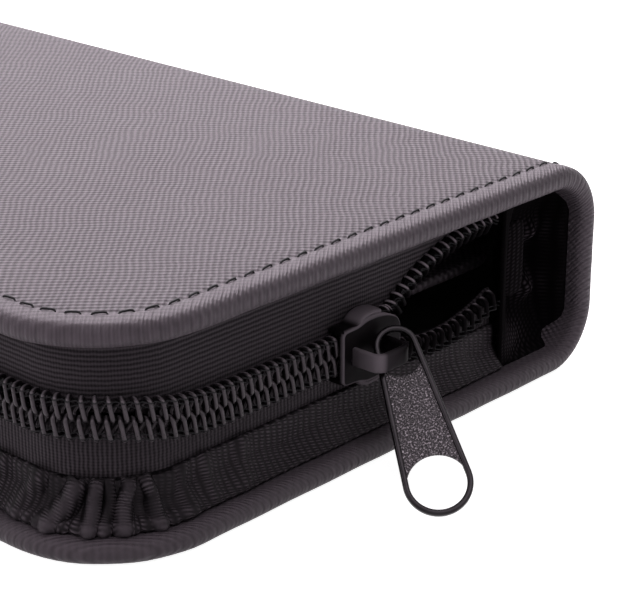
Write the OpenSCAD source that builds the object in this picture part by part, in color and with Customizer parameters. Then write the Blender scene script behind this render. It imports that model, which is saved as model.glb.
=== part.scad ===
// Zip-around case for twelve fountain pens, lying closed on its back cover.
// Two padded covers fold on a soft spine. A coil zip runs round the other three
// sides, and its slider stands part of the way along the near end.
// X runs from the fore-edge to the spine, Y from the near end to the far end and
// Z up. The origin is the middle of the back cover's underside. Sizes are in mm.

/* [Case] */
// Length along the spine
case_l = 178; // [150:1:220]
// Width from the fore-edge to the spine
case_w = 96; // [90:1:120]
// Height when closed
case_h = 31; // [30:0.5:40]
// Radius of the two fore-edge corners, seen from above
corner_r = 17; // [14:0.5:24]
// Outer radius of the folds between the covers and the spine
fold_r = 9; // [7:0.5:11]

/* [Cover] */
// Thickness of the leather
skin_t = 0.8; // [0.6:0.1:1.1]
// Thickness of the stiffening board
board_t = 1.6; // [1:0.1:2.5]
// Width of the leather turned in over the board
turn_in = 11; // [8:0.5:13]
// Solid leather in the rolled edge, outside the board
edge_roll = 1.3; // [1:0.1:2]
// Gap at the middle of each fold
fold_gap = 0.2; // [0.1:0.05:0.4]

/* [Zip] */
// Distance from the case's edge to the middle of the coil
zip_inset = 4; // [3.6:0.1:5]
// Spacing of the loops of one coil
coil_pitch = 1.55; // [1.4:0.05:2]
// Width of the coil's flattened wire
wire_d = 0.6; // [0.5:0.02:0.62]
// Thickness of the coil, from outer to inner leg
coil_t = 2; // [1.6:0.1:2.4]
// Length of a loop from the middle of the zip to the tape's seam
leg_l = 2.9; // [2.4:0.1:3.4]
// How far a loop's nose reaches past the middle of the zip
nose = 0.45; // [0.3:0.05:0.6]
// Lean of the loops along the zip, in degrees
coil_lean = 12; // [0:1:18]
// Thickness of the woven tape
tape_t = 0.6; // [0.4:0.1:0.8]
// Distance from the spine's face to the zip's ends
zip_end = 18.5; // [16:0.5:24]
// Height that the lower tape's edge dips in the open stretch
dip = 2.2; // [0:0.1:2.2]
// Height that the upper tape's edge bows up in the open stretch
rise = 2; // [1:0.1:2.4]
// Gap between the two tapes' edges at the zip's ends
end_gap = 8.6; // [4:0.2:8.8]

/* [Gusset] */
// Height of the leather gusset above the back cover
gusset_h = 6.2; // [4:0.1:7]
// Thickness of the gussets
gusset_t = 1; // [0.8:0.1:1.4]

/* [Slider] */
// Place of the slider's middle along the near end, from the case's middle
slider_x = 1; // [-10:0.5:12]
// Length of the slider
slider_l = 11.2; // [10:0.1:13]
// Thickness of the slider's plates
plate_t = 0.9; // [0.7:0.05:1.2]
// Wall of the slider's flanges
flange_t = 0.55; // [0.4:0.05:0.7]
// Width of the wedge that parts the coils
neck_w = 1.2; // [1:0.1:1.4]
// Height of the crown's tunnel above the plate
tunnel_h = 3.8; // [3.5:0.1:4.5]
// Length of the crown over both legs
crown_l = 6.6; // [6:0.1:8]
// Distance from the slider's middle back to the crown's rear leg
crown_back = 4; // [3.5:0.1:4.5]
// Width of the crown
crown_w = 2.3; // [1.7:0.1:2.7]
// Wall of the crown
crown_t = 0.85; // [0.7:0.05:1]

/* [Pull tab] */
// Length of the tab
tab_l = 26.4; // [22:0.2:26.6]
// Width of the tab at its eye
tab_top_w = 5.8; // [5.6:0.1:6.2]
// Width of the tab at its hole
tab_end_w = 8.9; // [8.5:0.1:9.5]
// Thickness of the tab's field
tab_t = 0.7; // [0.5:0.05:0.8]
// Thickness of the tab's rim
rim_t = 1; // [0.9:0.05:1.1]
// Width of the tab's rim
rim_w = 0.75; // [0.6:0.05:0.8]
// Length of the eye
eye_l = 6.4; // [6:0.1:7]
// Diameter of the hole at the tab's end
hole_d = 7.3; // [6:0.1:7.4]

/* [Inside] */
// Pens held by each cover
pens = 6; // [4:1:6]
// Spacing of the pen loops
pen_pitch = 13.4; // [12.6:0.1:13.6]
// Height of a pen loop
loop_h = 9.6; // [8:0.1:9.8]
// Thickness of the elastic
band_t = 0.8; // [0.6:0.1:1]
// Width of each elastic band
band_w = 30; // [15:1:45]
// Distance of the bands from the middle of the case
band_y = 42; // [30:1:55]
// Thickness of the divider page
page_t = 1.6; // [1:0.1:2]
// Gap between the page's edges and the coil
page_gap = 5; // [4:0.5:8]
// Radius of the page's corners
page_r = 8; // [2:0.5:12]
// Width of the cloth hinge between the page and the spine
hinge_w = 2.7; // [2:0.1:4]

/* [Hidden] */
$fn = 64;
round_fn = 32;

clear = 0.3;
wall = 2 * skin_t + board_t;
left = -case_w / 2;
right = case_w / 2;
near = -case_l / 2;
far = case_l / 2;
fold_x = right - fold_r;
mid_z = case_h / 2;
seam_x = right - zip_end;

// Depths from the near or far end, from the coil inwards
coil_in = zip_inset + coil_t / 2;
tape_out = coil_in + 0.05;
tape_in = tape_out + tape_t;
gusset_out = tape_out - 0.15 - gusset_t;
plate_out = zip_inset - coil_t / 2 - 0.2 - plate_t;
inner_plate = tape_in + 0.25;

// ---------------------------------------------------------------- helpers

// Sweeps a section along a straight stretch. The section's x points outwards.
module along(from, outward, length)
  translate(from)
    rotate([0, 0, outward])
      rotate([90, 0, 0])
        linear_extrude(length) children();

// Sweeps a section round one fore-edge corner of the given radius.
module corner(y, start, radius)
  translate([left + corner_r, y, 0])
    rotate([0, 0, start])
      rotate_extrude(angle = 90) translate([radius, 0]) children();

// Sweeps a section round the near end, the fore-edge and the far end.
module round_run(inset, near_x, far_x) {
  along([near_x, near + inset, 0], -90, near_x - left - corner_r) children();
  corner(near + corner_r, 180, corner_r - inset) children();
  along([left + inset, near + corner_r, 0], 180, case_l - 2 * corner_r) children();
  corner(far - corner_r, 90, corner_r - inset) children();
  along([left + corner_r, far - inset, 0], 90, far_x - left - corner_r) children();
}

// Turns a piece of the back cover into one of the front cover.
module flip() translate([0, 0, case_h]) mirror([0, 0, 1]) children();

// Turns a piece of the near end into one of the far end.
module to_far() mirror([0, 1, 0]) children();

// Revolves a section about the lower fold. The section's x is the radius.
module fold(from, angle)
  translate([fold_x, 0, fold_r])
    rotate([90, 0, 0])
      rotate([0, 0, from])
        rotate_extrude(angle = angle) children();

half_fold = 45 - asin(fold_gap / 2 / fold_r);

// ---------------------------------------------------------------- covers

// Leather across one edge, folded round the board's edge and turned in.
module edge_section(depth) {
  difference() {
    union() {
      translate([-depth, 0]) square([depth - wall / 2, skin_t]);
      translate([-turn_in, 0]) square([turn_in - wall / 2, wall]);
      intersection() {
        translate([-wall / 2, wall / 2]) circle(wall / 2);
        translate([-wall / 2, 0]) square([wall, wall]);
      }
    }
    translate([-turn_in - 1, skin_t]) square([turn_in + 1 - edge_roll, board_t]);
  }
}

// Leather across the whole length, turned in at both ends.
module full_section() {
  translate([far, 0]) edge_section(far);
  mirror([1, 0]) translate([far, 0]) edge_section(far);
}

// The full section with its outer face at the given radius.
module fold_section() translate([fold_r, 0]) rotate([0, 0, 90]) full_section();

module cover_skin() {
  round_strip_w = corner_r;
  fold(-90, half_fold) fold_section();
  translate([left + round_strip_w, 0, 0])
    rotate([90, 0, 90])
      linear_extrude(fold_x - left - round_strip_w) full_section();
  along([left, near + corner_r, 0], 180, case_l - 2 * corner_r) edge_section(corner_r);
  corner(near + corner_r, 180, corner_r) edge_section(corner_r);
  corner(far - corner_r, 90, corner_r) edge_section(corner_r);
}

// Outline of the cover's flat part, drawn in from its three free edges.
module flat_outline(inset, to_x) {
  r = corner_r - inset;
  translate([left + inset, near + corner_r])
    square([to_x - left - inset, case_l - 2 * corner_r]);
  translate([left + corner_r, near + inset])
    square([to_x - left - corner_r, case_l - 2 * inset]);
  for (y = [near + corner_r, far - corner_r])
    translate([left + corner_r, y]) circle(r);
}

module cover_board()
  translate([0, 0, skin_t])
    linear_extrude(board_t) flat_outline(edge_roll + 0.2, fold_x - 1);

module cover_lining() {
  translate([0, 0, wall - skin_t])
    linear_extrude(skin_t) flat_outline(turn_in + 0.15, fold_x);
  fold(-90, half_fold)
    translate([fold_r - wall, -far + turn_in + 0.15])
      square([skin_t, case_l - 2 * turn_in - 0.3]);
}

module back_skin() color("#3a373c") cover_skin();
module back_board() color("#8a7a66") cover_board();
module back_lining() color("#1d1c1f") cover_lining();
module front_skin() color("#7d7881") flip() cover_skin();
module front_board() color("#8a7a66") flip() cover_board();
module front_lining() color("#1d1c1f") flip() cover_lining();

// ---------------------------------------------------------------- spine

spine_h = case_h - 2 * fold_r;

module spine_skin()
  color("#2e2c30") {
    fold(0, -half_fold) fold_section();
    flip() fold(0, -half_fold) fold_section();
    translate([right, 0, fold_r])
      linear_extrude(spine_h) rotate([0, 0, 90]) full_section();
  }

module spine_board()
  color("#8a7a66")
    translate([right - skin_t - board_t, near + edge_roll + 0.2, fold_r + 0.5])
      cube([board_t, case_l - 2 * (edge_roll + 0.2), spine_h - 1]);

module spine_lining()
  color("#1d1c1f") {
    for (upper = [false, true])
      if (upper) flip() spine_lining_fold();
      else spine_lining_fold();
    translate([right - wall, near + turn_in + 0.15, fold_r])
      cube([skin_t, case_l - 2 * turn_in - 0.3, spine_h]);
  }

module spine_lining_fold()
  fold(0, -half_fold)
    translate([fold_r - wall, -far + turn_in + 0.15])
      square([skin_t, case_l - 2 * turn_in - 0.3]);

// Leather panel that closes the case's end beside the spine.
module end_gusset() {
  inner_r = fold_r - wall - clear;
  y = near + gusset_out;
  low = wall + clear;
  translate([0, y + gusset_t, 0])
    rotate([90, 0, 0])
      linear_extrude(gusset_t) {
        translate([seam_x + clear, low]) square([fold_x - seam_x - clear, case_h - 2 * low]);
        translate([fold_x, fold_r]) square([right - wall - fold_x, spine_h]);
        for (z = [fold_r, case_h - fold_r])
          translate([fold_x, z]) circle(inner_r);
      }
}

// Patch that holds the two tapes' ends together.
patch_w = 4;
patch_h = 11;
patch_t = 0.8;

module zip_end_patch()
  translate([seam_x + 4 * clear, near + gusset_out - patch_t, mid_z - patch_w / 2])
    cube([patch_w, patch_t, patch_h]);

module near_end_gusset() color("#2b292d") end_gusset();
module far_end_gusset() color("#2b292d") to_far() end_gusset();
module near_zip_end() color("#141316") zip_end_patch();
module far_zip_end() color("#141316") to_far() zip_end_patch();

// ---------------------------------------------------------------- gusset and tapes

module lower_gusset()
  color("#242226")
    round_run(0, seam_x, seam_x)
      translate([-gusset_out - gusset_t, wall]) square([gusset_t, gusset_h]);

// Section of the closed tape, from the height low to the height high.
module tape_section(low, high)
  translate([-tape_in, low]) square([tape_t, high - low]);

closed_x = slider_x - 0.6;
tape_gap = 0.3;
tape_lap = 0.2;

module lower_tape()
  color("#17161a")
    round_run(0, closed_x, seam_x)
      tape_section(wall, mid_z - tape_gap);

module upper_tape()
  color("#17161a")
    round_run(0, closed_x, seam_x)
      tape_section(mid_z + tape_gap, case_h - wall);

// The open stretch runs from the slider's mouth to the zip's end.
open_x = slider_x + slider_l / 2 + 0.3;
open_w = seam_x - open_x - 0.8;
mouth_z = neck_w / 2 + nose + 0.2;

function open_z(s, start, end, bow) = start + (end - start) * s + 4 * bow * s * (1 - s);
function lower_z(s) = open_z(s, mid_z - mouth_z, mid_z - tape_gap, -dip);
function upper_z(s) = open_z(s, mid_z + mouth_z, mid_z - tape_gap + end_gap, rise);

open_steps = 12;

module open_tape(edge, base)
  translate([0, near + tape_in, 0])
    rotate([90, 0, 0])
      linear_extrude(tape_t)
        polygon(concat([for (i = [0 : open_steps]) edge[i]],
                       [[seam_x, base], [closed_x + tape_lap, base]],
                       [[closed_x + tape_lap, edge[0][1]]]));

module lower_open_tape()
  color("#17161a")
    open_tape([for (i = [0 : open_steps]) [open_x + open_w * i / open_steps,
                                           lower_z(i / open_steps) - tape_gap]], wall);

module upper_open_tape()
  color("#17161a")
    open_tape([for (i = [0 : open_steps]) [open_x + open_w * i / open_steps,
                                           upper_z(i / open_steps) + tape_gap]], case_h - wall);

// ---------------------------------------------------------------- coils

loop_r = coil_t / 2;

// Outline of a loop's outer or inner side: two straight legs and a round nose.
module loop_outline(r) {
  circle(r, $fn = round_fn);
  translate([-r, -leg_l - nose + loop_r]) square([2 * r, leg_l + nose - loop_r]);
}

// One loop of flattened wire, with its nose up and its legs one behind the other.
module coil_loop()
  rotate([0, coil_lean, 0])
    translate([-wire_d / 2, 0, nose - loop_r])
      rotate([90, 0, 90])
        linear_extrude(wire_d)
          difference() {
            loop_outline(loop_r);
            loop_outline(loop_r - wire_d);
          }

// The coils follow the case's edge at zip_inset, starting at the slider.
zip_r = corner_r - zip_inset;
near_run = closed_x - left - corner_r;
side_run = case_l - 2 * corner_r;
arc_run = zip_r * PI / 2;
far_run = seam_x - left - corner_r;
zip_l = near_run + side_run + far_run + 2 * arc_run;

// Place and heading on the closed run, after the length s.
function near_at(s) = [closed_x - s, near + zip_inset, 180];
function near_arc(s, a) = [left + corner_r - zip_r * sin(a),
                           near + corner_r - zip_r * cos(a), 180 - a];
function side_at(s) = [left + zip_inset, near + corner_r + s, 90];
function far_arc(s, a) = [left + corner_r - zip_r * cos(a),
                          far - corner_r + zip_r * sin(a), 90 - a];
function far_at(s) = [left + corner_r + s, far - zip_inset, 0];
function arc_a(s) = s / zip_r * 180 / PI;
function zip_at(s) =
  s < near_run ? near_at(s) :
  s < near_run + arc_run ? near_arc(s, arc_a(s - near_run)) :
  s < near_run + arc_run + side_run ? side_at(s - near_run - arc_run) :
  s < near_run + 2 * arc_run + side_run ? far_arc(s, arc_a(s - near_run - arc_run - side_run)) :
  far_at(s - near_run - 2 * arc_run - side_run);

loop_count = floor(zip_l / coil_pitch) - 1;
closed_pitch = zip_l / (loop_count + 1);

// The closed coil, with its noses up or down, shifted along the zip.
module closed_coil(up, shift)
  for (i = [0 : loop_count - 1]) {
    place = zip_at((i + 0.5 + shift) * closed_pitch);
    translate([place[0], place[1], mid_z])
      rotate([0, 0, place[2]])
        rotate([up ? 0 : 180, 0, 0]) coil_loop();
  }

module lower_coil() color("#0f0f11") closed_coil(true, 0);
module upper_coil() color("#0f0f11") closed_coil(false, 0.5);

// The open coil climbs along its tape's edge.
module open_coil(up, heights) {
  count = len(heights);
  step = open_w / count;
  for (i = [0 : count - 1]) {
    before = heights[max(i - 1, 0)];
    after = heights[min(i + 1, count - 1)];
    span = (min(i + 1, count - 1) - max(i - 1, 0)) * step;
    translate([open_x + (i + 0.5) * step, near + zip_inset, heights[i]])
      rotate([0, -atan2(after - before, span), 0])
        rotate([up ? 0 : 180, 0, 0]) coil_loop();
  }
}

lower_count = round(open_w / coil_pitch);
upper_count = round(open_w * 1.12 / coil_pitch);

module lower_open_coil()
  color("#0f0f11")
    open_coil(true, [for (i = [0 : lower_count - 1]) lower_z((i + 0.5) / lower_count)]);

module upper_open_coil()
  color("#0f0f11")
    open_coil(false, [for (i = [0 : upper_count - 1]) upper_z((i + 0.5) / upper_count)]);

// ---------------------------------------------------------------- slider

tail_w = 2 * (leg_l + 0.25 + flange_t);
mouth_w = 2 * (leg_l + mouth_z + 0.2 + flange_t);
waist_x = -1.2;
shoulder_x = 2;
flange_end = 3.6;
front_cut = 1;
slider_top = [[-slider_l / 2, tail_w / 2], [waist_x, tail_w / 2],
              [shoulder_x, mouth_w / 2], [flange_end, mouth_w / 2],
              [slider_l / 2 - 0.6 * front_cut, mouth_w / 2 - front_cut],
              [slider_l / 2, mouth_w / 2 - 2 * front_cut]];

function mirrored(points) = [for (i = [len(points) - 1 : -1 : 0]) [points[i][0], -points[i][1]]];

// A plate of the slider, standing in the near end between two depths.
module slider_layer(out, inner)
  translate([slider_x, near + inner, mid_z])
    rotate([90, 0, 0])
      linear_extrude(inner - out) children();

module plate_outline() polygon(concat(slider_top, mirrored(slider_top)));

module flange_outline()
  for (side = [0, 1])
    mirror([0, side])
      difference() {
        polygon(concat([for (i = [0 : 3]) slider_top[i]],
                       [for (i = [3 : -1 : 0]) [slider_top[i][0], slider_top[i][1] - flange_t]]));
        translate([flange_end, 0]) square([slider_l, mouth_w]);
      }

module neck_outline()
  polygon([[0.2, 0], [1.6, neck_w / 2], [slider_l / 2, neck_w / 2],
           [slider_l / 2, -neck_w / 2], [1.6, -neck_w / 2]]);

module slider()
  color("#1b1b1e") {
    slider_layer(plate_out, plate_out + plate_t) plate_outline();
    slider_layer(plate_out + plate_t, tape_out - 0.2) flange_outline();
    slider_layer(inner_plate, inner_plate + plate_t) plate_outline();
    slider_layer(plate_out + plate_t, inner_plate) neck_outline();
  }

// The crown bridges the slider's plate and holds the tab's eye.
crown_x = slider_x - crown_back;
crown_r = 0.7;

module crown_outline(r, length, height) {
  translate([0, -height]) square([length, height - r]);
  translate([r, -r - 0.01]) square([length - 2 * r, r + 0.01]);
  for (x = [r, length - r])
    translate([x, -r]) circle(r, $fn = 32);
}

module crown()
  color("#232327")
    translate([crown_x, near + plate_out, mid_z - crown_w / 2])
      linear_extrude(crown_w)
        difference() {
          mirror([0, 1])
            translate([0, tunnel_h + crown_t]) crown_outline(crown_r + 0.4, crown_l,
                                                             tunnel_h + crown_t);
          mirror([0, 1])
            translate([crown_t, tunnel_h])
              crown_outline(crown_r, crown_l - 2 * crown_t, tunnel_h + 1);
        }

// ---------------------------------------------------------------- pull tab

// The tab hangs from its eye's side bar in the crown's tunnel, and its end rests
// beside the case. It turns about an upright line through pivot.
pivot = [crown_x + crown_l / 2 - 0.2, near + plate_out - 1.5, mid_z + 0.3];
tab_heading = -27;
tab_lean = -48;
tab_roll = -15;
top_r = tab_top_w / 2;
end_r = tab_end_w / 2;
straight_l = tab_l - top_r - end_r;
side_a = asin((end_r - top_r) / straight_l);

function arc(y, r, from, to) =
  [for (i = [0 : round_fn]) let (a = from + (to - from) * i / round_fn) [r * cos(a), y + r * sin(a)]];

// The tab's outline drawn in by inset, with its eye's end at the origin.
module tab_outline(inset)
  polygon(concat(arc(0, top_r - inset, side_a, 180 - side_a),
                 arc(-straight_l, end_r - inset, 180 - side_a, 360 + side_a)));

module eye_outline() {
  r = top_r - rim_w - 0.1;
  circle(r);
  translate([0, -(eye_l - 2 * r)]) circle(r);
  translate([-r, -(eye_l - 2 * r)]) square([2 * r, eye_l - 2 * r]);
}

module pull_tab()
  color("#4a474c")
    translate(pivot)
      rotate([0, 0, tab_heading])
        rotate([tab_lean, 0, 0])
          rotate([0, 0, tab_roll])
            translate([top_r - rim_w / 2, 0, 0])
              rotate([90, 0, 0])
                difference() {
                  translate([0, 0, -rim_t / 2]) linear_extrude(rim_t) tab_outline(0);
                  for (side = [0, 1])
                    mirror([0, 0, side])
                      translate([0, 0, tab_t / 2])
                        linear_extrude(rim_t)
                          difference() {
                            tab_outline(rim_w);
                            translate([0, -straight_l]) circle(hole_d / 2 + rim_w * 0.6);
                          }
                  translate([0, 0, -rim_t]) linear_extrude(2 * rim_t) eye_outline();
                  translate([0, -straight_l, -rim_t]) cylinder(h = 2 * rim_t, d = hole_d);
                }

// ---------------------------------------------------------------- inside

band_x = (left + tape_in + fold_x - pens * pen_pitch) / 2;

// A row of elastic loops on one cover, open at both ends for the pens.
module pen_band(y)
  translate([band_x, y + band_w / 2, wall])
    rotate([90, 0, 0])
      linear_extrude(band_w)
        difference() {
          for (i = [0 : pens - 1])
            translate([i * pen_pitch, 0]) arch_outline(pen_pitch, loop_h, 3);
          for (i = [0 : pens - 1])
            translate([i * pen_pitch + band_t / 2, -1])
              arch_outline(pen_pitch - band_t, loop_h - band_t + 1, 2.5);
        }

module arch_outline(w, h, r) {
  square([w, h - r]);
  translate([r, h - r - 0.01]) square([w - 2 * r, r + 0.01]);
  for (x = [r, w - r])
    translate([x, h - r]) circle(r, $fn = 32);
}

module back_band_near() color("#202024") pen_band(-band_y);
module back_band_far() color("#202024") pen_band(band_y);
module front_band_near() color("#202024") flip() pen_band(-band_y);
module front_band_far() color("#202024") flip() pen_band(band_y);

page_right = right - wall - clear - hinge_w;
page_left = left + zip_inset + coil_t + page_gap;
page_len = case_l - 2 * (zip_inset + coil_t + page_gap);

module page()
  color("#28272b")
    translate([0, 0, mid_z - page_t / 2])
      linear_extrude(page_t) {
        translate([page_left + page_r, -page_len / 2])
          square([page_right - page_left - 2 * page_r, page_len]);
        translate([page_left, -page_len / 2 + page_r])
          square([page_right - page_left, page_len - 2 * page_r]);
        for (x = [page_left + page_r, page_right - page_r], side = [-1, 1])
          translate([x, side * (page_len / 2 - page_r)]) circle(page_r);
      }

module page_hinge()
  color("#1b1a1d")
    translate([right - wall - hinge_w, page_r - page_len / 2, mid_z - page_t / 4])
      cube([hinge_w, page_len - 2 * page_r, page_t / 2]);

back_skin();
back_board();
back_lining();
back_band_near();
back_band_far();
lower_gusset();
lower_tape();
lower_coil();
lower_open_tape();
lower_open_coil();
spine_skin();
spine_board();
spine_lining();
near_end_gusset();
far_end_gusset();
near_zip_end();
far_zip_end();
page_hinge();
front_skin();
front_board();
front_lining();
front_band_near();
front_band_far();
upper_tape();
upper_coil();
upper_open_tape();
upper_open_coil();
page();
slider();
crown();
pull_tab();
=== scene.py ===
"""Zip-around case for twelve fountain pens, dressed round its CAD frame.

Two leather covers fold on a soft spine, and a black coil zip runs round the
other three sides. Every shape is worked out in millimetres in the case's own
frame: X from the fore-edge to the spine, Y from the near end to the far end,
Z up.
"""

import math

import bmesh
import bpy
import numpy as np
from mathutils import Matrix, Vector


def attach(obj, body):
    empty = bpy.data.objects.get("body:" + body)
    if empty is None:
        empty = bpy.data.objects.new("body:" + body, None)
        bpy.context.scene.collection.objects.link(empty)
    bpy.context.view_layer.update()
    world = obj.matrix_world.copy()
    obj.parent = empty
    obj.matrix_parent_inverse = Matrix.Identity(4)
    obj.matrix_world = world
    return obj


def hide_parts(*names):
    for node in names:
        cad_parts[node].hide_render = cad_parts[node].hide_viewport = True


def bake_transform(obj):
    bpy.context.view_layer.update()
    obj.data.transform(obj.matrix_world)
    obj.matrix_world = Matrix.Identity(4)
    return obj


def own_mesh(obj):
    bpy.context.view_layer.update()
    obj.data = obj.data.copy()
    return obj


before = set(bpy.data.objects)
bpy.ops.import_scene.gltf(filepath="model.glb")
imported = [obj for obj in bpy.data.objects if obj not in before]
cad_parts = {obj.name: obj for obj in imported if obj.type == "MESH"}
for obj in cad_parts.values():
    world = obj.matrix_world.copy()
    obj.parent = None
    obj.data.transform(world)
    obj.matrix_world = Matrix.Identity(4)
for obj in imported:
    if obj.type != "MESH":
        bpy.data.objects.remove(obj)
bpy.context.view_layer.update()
scene = bpy.context.scene

# ---------------------------------------------------------------- view and light
# A long lens looks down on the near end's slider from the fore-edge side.
# The studio is a white surround with one broad lamp above and behind the case,
# and three weak ones on the fore-edge and near end.

EYE = Vector((-0.1816, -0.2447, 0.1175))
LOOK = Vector((0.684, 0.630, -0.367)).normalized()
ACROSS = LOOK.cross(Vector((0, 0, 1))).normalized()
UPWARD = ACROSS.cross(LOOK)

lens = bpy.data.cameras.new("studio_lens")
lens.lens = 116.7
lens.sensor_width = 36
lens.sensor_fit = "HORIZONTAL"
lens.clip_start = 0.01
camera = bpy.data.objects.new("studio_camera", lens)
camera.matrix_world = Matrix(
    [[ACROSS[i], UPWARD[i], -LOOK[i], EYE[i]] for i in range(3)] + [[0, 0, 0, 1]]
)
scene.collection.objects.link(camera)
scene.camera = camera
scene.view_settings.view_transform = "Standard"

MAUVE = (1, 0.92, 0.985)


def soft_box(name, place, aim, size, watts):
    """A square lamp at place, turned towards aim, with a trace of mauve."""
    light = bpy.data.lights.new(name, "AREA")
    light.size = size
    light.energy = watts
    light.color = MAUVE
    made = bpy.data.objects.new(name, light)
    made.location = place
    made.rotation_euler = (
        (Vector(aim) - Vector(place)).to_track_quat("-Z", "Y").to_euler()
    )
    scene.collection.objects.link(made)


soft_box("back_softbox", (0.40, 0.46, 0.62), (0, 0, 0.02), 0.75, 12.6)
soft_box("left_softbox", (-0.62, 0.10, 0.50), (0, -0.06, 0.02), 0.35, 1.5)
soft_box("near_top", (-0.10, -0.36, 0.62), (0, -0.06, 0.01), 0.35, 1.0)
soft_box("near_fill", (-0.25, -0.70, 0.30), (0, -0.06, 0.01), 0.5, 0.12)


class Wire:
    """A socket in a material. Arithmetic on it adds Math nodes."""

    def __init__(self, tree, socket=None):
        self.tree = tree
        self.socket = socket

    def node(self, kind, settings=None, inputs=None, output=0):
        """Adds a node: first its settings, then each input's value or link."""
        made = self.tree.nodes.new("ShaderNode" + kind)
        for name, value in (settings or {}).items():
            setattr(made, name, value)
        for name, value in (inputs or {}).items():
            if isinstance(value, Wire):
                self.tree.links.new(value.socket, made.inputs[name])
            else:
                made.inputs[name].default_value = value
        return Wire(self.tree, made.outputs[output])

    def maths(self, operation, *values):
        """A Math node on values, each a number or a wire."""
        return self.node("Math", {"operation": operation}, dict(enumerate(values)))

    def __add__(self, other):
        return self.maths("ADD", self, other)

    __radd__ = __add__

    def __mul__(self, other):
        return self.maths("MULTIPLY", self, other)

    __rmul__ = __mul__

    def __sub__(self, other):
        return self.maths("SUBTRACT", self, other)

    def __rsub__(self, other):
        return self.maths("SUBTRACT", other, self)

    def __pow__(self, other):
        return self.maths("POWER", self, other)


def finish(name, constants, build):
    """A material: constants go on the shader's sockets, build links the rest."""
    made = bpy.data.materials.new(name)
    made.use_nodes = True
    shader = made.node_tree.nodes["Principled BSDF"]
    for socket, value in constants.items():
        shader.inputs[socket].default_value = value
    for socket, value in build(Wire(made.node_tree)).items():
        made.node_tree.links.new(value.socket, shader.inputs[socket])
    return made


def mixed(w, share, low, high):
    """Blends two colours, each three numbers or a wire. A colour Mix node takes
    them on its sockets 6 and 7 and gives the blend on its output 2."""
    low, high = (tone if isinstance(tone, Wire) else (*tone, 1) for tone in (low, high))
    return w.node("Mix", {"data_type": "RGBA"}, {0: share, 6: low, 7: high}, output=2)


def seen_share(w):
    """1 on rays from the camera, a mirror or clear stuff, and 0 on the rest."""
    rays = w.node("LightPath").socket.node.outputs
    camera_ray, mirror_ray, clear_ray = (
        Wire(w.tree, rays[f"Is {kind} Ray"]) for kind in ("Camera", "Glossy", "Transmission")
    )
    return w.maths("MINIMUM", camera_ray + mirror_ray + clear_ray, 1.0)


AMBIENT = 0.03

world = bpy.data.worlds.new("white_surround")
world.use_nodes = True
scene.world = world
sky = Wire(world.node_tree)
backdrop = world.node_tree.nodes["Background"]
backdrop.inputs["Color"].default_value = (1, 1, 1, 1)
sky.tree.links.new(
    (seen_share(sky) * (1 - AMBIENT) + AMBIENT).socket, backdrop.inputs["Strength"]
)

FLOOR_REACH, FLOOR_Z = 6.0, -0.0002
PAPER, PAPER_GLOW = (0.66, 0.66, 0.66, 1), (0.95, 0.95, 0.95)


def paper(w):
    """White paper that glows where it is seen directly or mirrored, so that it is
    as bright as the surround and still keeps the case's soft shadow."""
    grain = w.node("TexNoise", None, {"Scale": 400.0, "Detail": 2.0})
    return {
        "Emission Color": mixed(w, seen_share(w), (0, 0, 0), PAPER_GLOW),
        "Roughness": grain * 0.1 + 0.85,
    }


floor_corners = [
    (x * FLOOR_REACH, y * FLOOR_REACH, FLOOR_Z) for x, y in ((-1, -1), (1, -1), (1, 1), (-1, 1))
]
floor_mesh = bpy.data.meshes.new("paper_floor")
floor_mesh.from_pydata(floor_corners, [], [(0, 1, 2, 3)])
floor_mesh.materials.append(
    finish("white_paper", {"Base Color": PAPER, "Emission Strength": 1.0}, paper)
)
floor = bpy.data.objects.new("paper_floor", floor_mesh)
scene.collection.objects.link(floor)

# ---------------------------------------------------------------- cover leather
# One cut of black grained leather per cover, reaching half-way up the spine.
# Its edges are rolled over the board, turned in and stitched down.

LEFT, RIGHT, END, TALL = -48.0, 48.0, 89.0, 31.0
CORNER, FOLD, WALL = 17.0, 9.0, 3.2
FLAT = RIGHT - FOLD - LEFT
ARC = FOLD * math.pi / 2
HALF_SPINE = (TALL - 2 * FOLD) / 2
CUT = FLAT + ARC + HALF_SPINE
FLAT_ROWS, FOLD_ROWS, SPINE_ROWS, LONG_ROWS, CORNER_ROWS = 29, 17, 4, 57, 17
MM = 0.001
WELD_REACH = 2e-6


def stacked(*grids):
    """Grids of numbers, spread to one shape, as the coordinates of points."""
    return np.stack(np.broadcast_arrays(*grids), -1)


def quads(rows, columns, wrap=False, flip=False):
    """Faces of a grid stored row by row; wrap joins its last column to its first."""
    i = np.arange(rows - 1)[:, None] * columns
    j = np.arange(columns if wrap else columns - 1)[None, :]
    k = (j + 1) % columns
    faces = np.stack([i + j, i + columns + j, i + columns + k, i + k], -1).reshape(-1, 4)
    return faces[:, ::-1] if flip else faces


def sheet_part(points, lay, wrap=False, flip=False):
    """A grid of points, with where each lies on the flat material."""
    rows, columns = points.shape[:2]
    return points.reshape(-1, 3), quads(rows, columns, wrap, flip), lay.reshape(-1, 3)


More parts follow.
